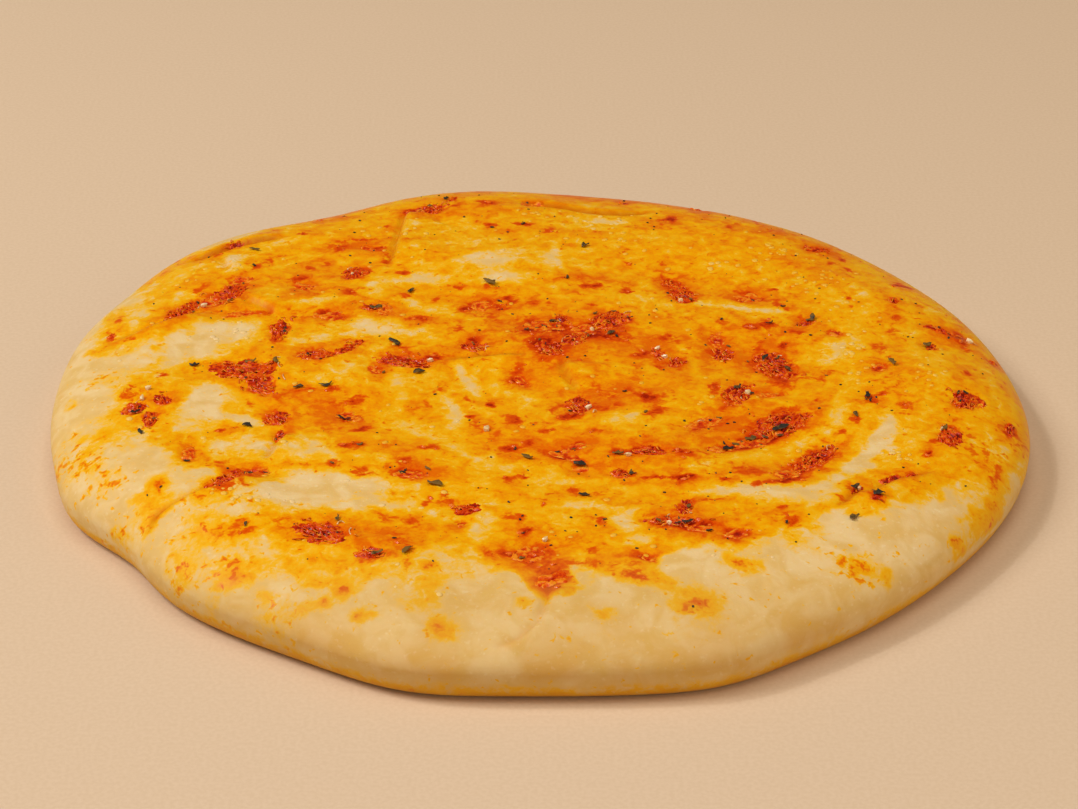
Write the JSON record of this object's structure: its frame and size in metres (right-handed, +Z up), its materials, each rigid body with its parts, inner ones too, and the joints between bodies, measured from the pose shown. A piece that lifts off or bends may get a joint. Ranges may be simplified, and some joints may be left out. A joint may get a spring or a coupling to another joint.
{
  "type": "pizza crust",
  "caption": "Round flat par-baked pizza crust with a soft rolled rim, pressed folds and a thin baked coat of tomato and herb sauce.",
  "frame": {"origin": "centre of the crust's outline box, on the surface that the crust lies on", "axes": "+Z up out of the sauced top; the side nearest the picture's camera is at -Y"},
  "size_m": [0.2974, 0.3043, 0.0246],
  "materials": {
    "baked_dough": "soft matt baked dough, pale golden, with a thin oily orange coat of tomato sauce",
    "tomato": "wet red shreds and pulp of cooked tomato",
    "herbs": "dry grey-green herb leaves and dark pepper specks",
    "pale_bits": "small translucent bits of garlic and onion, and pale blisters of the dough"
  },
  "bodies": {
    "root": {"crust": "baked_dough"}
  },
  "joints": []
}
